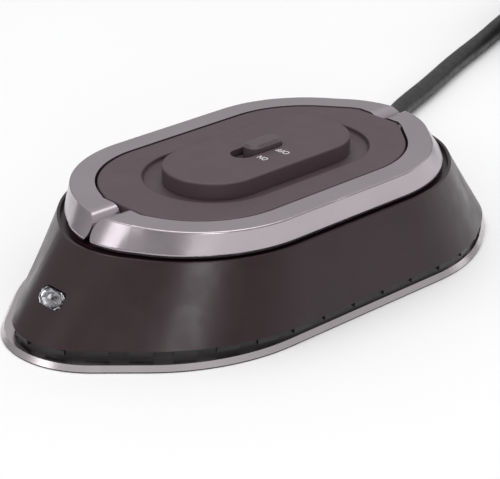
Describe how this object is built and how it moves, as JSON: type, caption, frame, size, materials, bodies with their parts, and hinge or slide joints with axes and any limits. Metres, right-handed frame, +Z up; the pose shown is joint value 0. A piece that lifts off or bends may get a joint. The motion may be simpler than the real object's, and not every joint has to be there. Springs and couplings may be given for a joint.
{
  "type": "clothes iron",
  "caption": "Compact boat-shaped travel iron with a ring handle whose two halves fold up, a slide switch on top and a mains cord.",
  "frame": {"origin": "centre of the ironing face, at its lowest level", "axes": "+Z up, -X towards the nose, +X towards the tail that the cord leaves, -Y the near side"},
  "size_m": [0.4307, 0.1594, 0.041],
  "materials": {
    "casing_brown": "fine satin moulded plastic",
    "deck_brown": "fine satin moulded plastic",
    "handle_silver": "silver mauve metallic lacquer, satin",
    "handle_cover": "light silver lacquer",
    "sole_metal": "polished rim",
    "sole_ceramic": "smooth light grey ceramic coating",
    "skirt_black": "heat-resistant moulding",
    "steel": "plain steel",
    "zinc": "zinc plated",
    "brass": "plain",
    "mat": "felted ceramic fibre",
    "ceramic_white": "glazed ceramic",
    "button_brown": "satin moulded plastic",
    "switch_black": "moulded",
    "lens_clear": "clear faceted",
    "lamp_red": "tinted",
    "lead_white": "silicone insulation",
    "lead_red": "silicone insulation",
    "cord_black": "matte sheath",
    "plug_black": "moulded"
  },
  "bodies": {
    "casing": {"sole_coating": "sole_ceramic", "soleplate": "sole_metal", "heating_element": "steel", "heater_terminals": "zinc", "vent_skirt": "skirt_black", "sole_screws": "zinc", "skirt_screws": "zinc", "insulation_mat": "mat", "heat_shield": "zinc", "body_shell": "casing_brown", "deck_panel": "deck_brown", "deck_screws": "zinc", "front_hinge_block": "zinc", "rear_hinge_block": "zinc", "front_hinge_pins": "steel", "rear_hinge_pins": "steel", "switch_housing": "switch_black", "switch_terminals": "brass", "switch_screws": "zinc", "thermostat": "ceramic_white", "thermal_fuse": "zinc", "terminal_block": "ceramic_white", "terminal_screws": "brass", "indicator_lens": "lens_clear", "lamp_holder": "switch_black", "indicator_lamp": "lamp_red", "lead_live": "lead_red", "lead_switched": "lead_red", "lead_neutral": "lead_white", "lead_lamp": "lead_white", "inner_cord": "cord_black", "cord_clamp": "switch_black", "strain_relief": "cord_black", "cord": "cord_black", "cord_coil": "cord_black", "cord_tie": "cord_black", "plug_cord": "cord_black", "plug_body": "plug_black", "plug_blades": "brass"},
    "handle_near_half": {"handle_near": "handle_silver", "handle_near_cover": "handle_cover"},
    "handle_far_half": {"handle_far": "handle_silver", "handle_far_cover": "handle_cover"},
    "switch_slider": {"switch_button": "button_brown"}
  },
  "joints": [
    {"name": "handle_near_fold", "type": "hinge", "parent": "casing", "child": "handle_near_half", "pos_m": [0, -0.0044, 0.0315], "axis": [-1, 0, 0], "range_deg": [0, 90]},
    {"name": "handle_far_fold", "type": "hinge", "parent": "casing", "child": "handle_far_half", "pos_m": [0, 0.0044, 0.0315], "axis": [1, 0, 0], "range_deg": [0, 90]},
    {"name": "switch_slide", "type": "slide", "parent": "casing", "child": "switch_slider", "axis": [-1, 0, 0], "range_m": [0, 0.005]}
  ]
}
